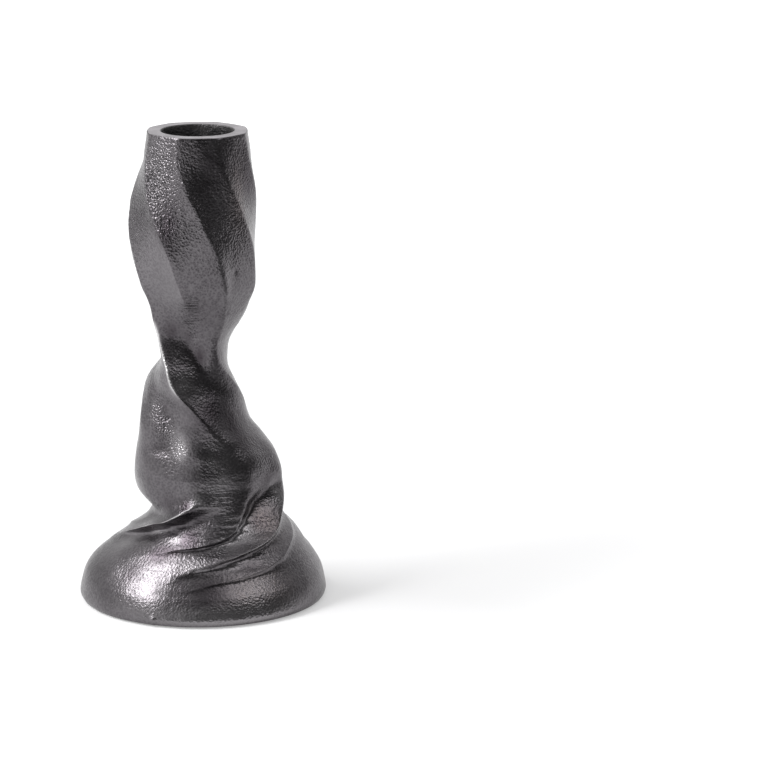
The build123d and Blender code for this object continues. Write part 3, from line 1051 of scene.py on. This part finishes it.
def skin_colour(n, broad, height, coarse, smooth):
    """Colour of the casting's skin: mottled and darker in its pits, with painted shade in grooves and
    patches, painted light in patches and on facets, and crests rubbed bare with a painted highlight.
    """
    mottle = n.span(broad, mottle_span)
    colour = n.blend(n.attribute("warm"), n.blend(mottle, *skin_colours), warm_colour)
    pits = n.blend(n.times(coarse, coarse_pit_share), n.blend(mottle, *pit_colours), coarse_pit_colour)
    high_spots = n.math("MAXIMUM", n.span(height, pit_end_span), n.times(smooth, smooth_fill_share))
    colour = n.blend(high_spots, pits, colour)
    # Painted shade, painted light and the rubbed crests are laid over the colour
    for name, overlay in painted_light_and_wear_colours.items():
        colour = n.blend(n.attribute(name), colour, overlay)
    return colour


def cast_skin():
    """Blackened cast metal with a pebbled skin, bare and painted with a highlight along the crests, and with
    painted shade and painted light in patches.
    """
    n = Nodes("blackened_casting")
    n.set(Metallic=1.0)
    coarse = n.attribute("coarse")
    smooth = n.attribute("smooth")
    broad = n.noise(scale=55, detail=3)
    grain = n.noise(scale=2100, roughness=0.6)
    fine = n.plus(n.times(n.cells(scale=1250), fine_cell_share), n.times(grain, fine_grain_share))
    pebbles = n.times(n.math("SUBTRACT", n.cells(scale=1500), middle_cell_distance), coarse)
    colour = skin_colour(n, broad, n.plus(fine, pebbles), coarse, smooth)
    roughness = n.span(broad, mottle_span, skin_roughness)
    patches = n.span(n.noise(scale=120), patch_span, fine_relief_shares)
    relief = n.plus(n.times(fine, patches), n.times(pebbles, pebble_relief_share))
    relief = n.times(relief, n.math("SUBTRACT", 1.0, smooth))
    streaks = n.noise(scale=2200, coords=n.squeezed(streak_squeeze))
    streaks = n.times(n.times(streaks, n.attribute("brushed")), streak_relief_share)
    normal = n.bump(n.plus(relief, streaks), skin_bump, strength=1.0)
    return n.finish(colour, roughness, normal)


def ground_rim():
    """The rim ground flat, bare metal with fine straight marks."""
    n = Nodes("ground_rim_metal")
    n.set(Metallic=1.0)
    marks = n.noise(scale=700, detail=3, roughness=0.6, coords=n.squeezed(rim_mark_squeeze))
    colour = n.blend(n.span(n.noise(scale=160, detail=3), stain_span), *rim_colours)
    roughness = n.span(marks, mottle_span, rim_roughness)
    return n.finish(colour, roughness, n.bump(marks, rim_bump, strength=0.6))


def socket_metal():
    """The rough wall of the socket, as cast and sooty."""
    n = Nodes("socket_wall")
    n.set(Metallic=1.0)
    soot = n.noise(scale=140, detail=4)
    colour = n.blend(n.span(soot, patch_span), *socket_colours)
    roughness = n.span(soot, mottle_span, socket_roughness)
    height = n.plus(n.cells(scale=1200), n.noise(scale=2600))
    return n.finish(colour, roughness, n.bump(height, socket_bump, strength=0.7))


def felt():
    """Dense dark felt."""
    n = Nodes("dark_felt")
    n.set(Sheen_Weight=0.35, Sheen_Roughness=0.6, Specular_IOR_Level=0.2)
    tangle = n.noise(scale=2600, detail=4, roughness=0.7)
    colour = n.blend(n.span(tangle, mottle_span), *felt_colours)
    roughness = n.span(tangle, mottle_span, felt_roughness)
    return n.finish(colour, roughness, n.bump(tangle, felt_bump, strength=0.9))


def floor_paper():
    """White paper floor that keeps the object's shadow.

    Camera, mirror and glass rays see it near white, but mirror rays see its unlit stretch dark.
    """
    n = Nodes("white_paper")
    n.tree.nodes.remove(n.shader)
    plain = n.add("ShaderNodeBsdfDiffuse")
    n.link(n.blend(n.noise(scale=6), *paper_colours), plain, "Color")
    path = n.add("ShaderNodeLightPath").outputs
    aside = n.math("ABSOLUTE", n.along(unlit_cross_direction), 0.0)
    unlit = n.span(n.math("SUBTRACT", n.along(unlit_direction), aside), unlit_distances, unlit_shares)
    unlit = n.times(unlit, path["Is Glossy Ray"])
    shaded = n.add("ShaderNodeBsdfDiffuse")
    n.link(n.blend(unlit, seen_paper_colour, unlit_paper_colour), shaded, "Color")
    away = n.add("ShaderNodeVectorMath", operation="LENGTH")
    n.link(n.coords, away, 0)
    white = n.span(away.outputs["Value"], glow_distances, glow_strengths)
    glow = n.add("ShaderNodeEmission")
    n.link(n.times(white, n.math("SUBTRACT", 1.0, unlit)), glow, "Strength")
    bright = n.add("ShaderNodeAddShader")
    n.link(shaded.outputs[0], bright, 0)
    n.link(glow.outputs[0], bright, 1)
    seen = n.math("MAXIMUM", path["Is Camera Ray"], path["Is Glossy Ray"])
    seen = n.math("MAXIMUM", seen, path["Is Transmission Ray"])
    mix = n.add("ShaderNodeMixShader")
    for index, output in enumerate((seen, plain.outputs[0], bright.outputs[0])):
        n.link(output, mix, index)
    n.link(mix.outputs[0], n.tree.nodes["Material Output"], "Surface")
    return n.material


def floor():
    half = floor_half_width / MM
    corners = [(-half, -half, 0), (half, -half, 0), (half, half, 0), (-half, half, 0)]
    piece = new_object("paper_floor", corners, [(0, 1, 2, 3)])
    piece.data.materials.append(floor_paper())


def studio_world():
    """A pale room, a little dimmer behind, and dark towards the front right, where the studio is unlit."""
    world = bpy.data.worlds.new("studio")
    bpy.context.scene.world = world
    world.use_nodes = True
    tree = world.node_tree
    background = tree.nodes["Background"]
    background.inputs["Color"].default_value = (1, 1, 1, 1)
    coords = tree.nodes.new("ShaderNodeTexCoord")
    product = tree.nodes.new("ShaderNodeMath")
    product.operation = "MULTIPLY"
    for index, side in enumerate(room_sides):
        towards = tree.nodes.new("ShaderNodeVectorMath")
        towards.operation = "DOT_PRODUCT"
        towards.inputs[1].default_value = Vector(side.direction).normalized()
        level = tree.nodes.new("ShaderNodeMapRange")
        for name, number in zip(("From Min", "From Max", "To Min", "To Max"), side.cosines + side.strengths):
            level.inputs[name].default_value = number
        tree.links.new(coords.outputs["Generated"], towards.inputs[0])
        tree.links.new(towards.outputs["Value"], level.inputs["Value"])
        tree.links.new(level.outputs["Result"], product.inputs[index])
    tree.links.new(product.outputs["Value"], background.inputs["Strength"])


def add_soft_box(box):
    """A rectangular lamp aimed at a target, with its long side along a direction."""
    lamp = bpy.data.lights.new(box.name, "AREA")
    lamp.shape = "RECTANGLE"
    lamp.size, lamp.size_y = box.sides
    lamp.energy = box.power
    light = bpy.data.objects.new(box.name, lamp)
    back = (Vector(box.place) - Vector(box.target)).normalized()
    up = back.cross(Vector(box.along)).normalized()
    light.matrix_world = Matrix((up.cross(back), up, back)).transposed().to_4x4()
    light.location = box.place
    light.visible_camera = False
    bpy.context.scene.collection.objects.link(light)


def photo_camera():
    yaw = math.radians(camera_yaw)
    pitch = math.radians(camera_pitch)
    forward = Vector((math.sin(yaw) * math.cos(pitch), math.cos(yaw) * math.cos(pitch), -math.sin(pitch)))
    right = Vector((math.cos(yaw), -math.sin(yaw), 0))
    up = right.cross(forward)
    lens = bpy.data.cameras.new("photo_camera")
    lens.sensor_width = sensor_width
    lens.lens = camera_lens
    camera = bpy.data.objects.new("photo_camera", lens)
    camera.matrix_world = Matrix((right, up, -forward)).transposed().to_4x4()
    camera.location = camera_place
    bpy.context.scene.collection.objects.link(camera)
    bpy.context.scene.camera = camera


photo_camera()
studio_world()
for box in soft_boxes:
    add_soft_box(box)
floor()
bpy.context.scene.view_settings.view_transform = "Standard"

casting = spiral_casting()
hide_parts("spiral_casting")
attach(casting, "root")

felt_material = felt()
noise.seed_set(nap_seed)
draw = random.Random(fibre_seed)
for side, azimuth in pad_azimuths.items():
    pad = felt_pad(side, azimuth, draw)
    pad.data.materials.append(felt_material)
    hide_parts(f"felt_pad_{side}")
    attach(pad, "root")
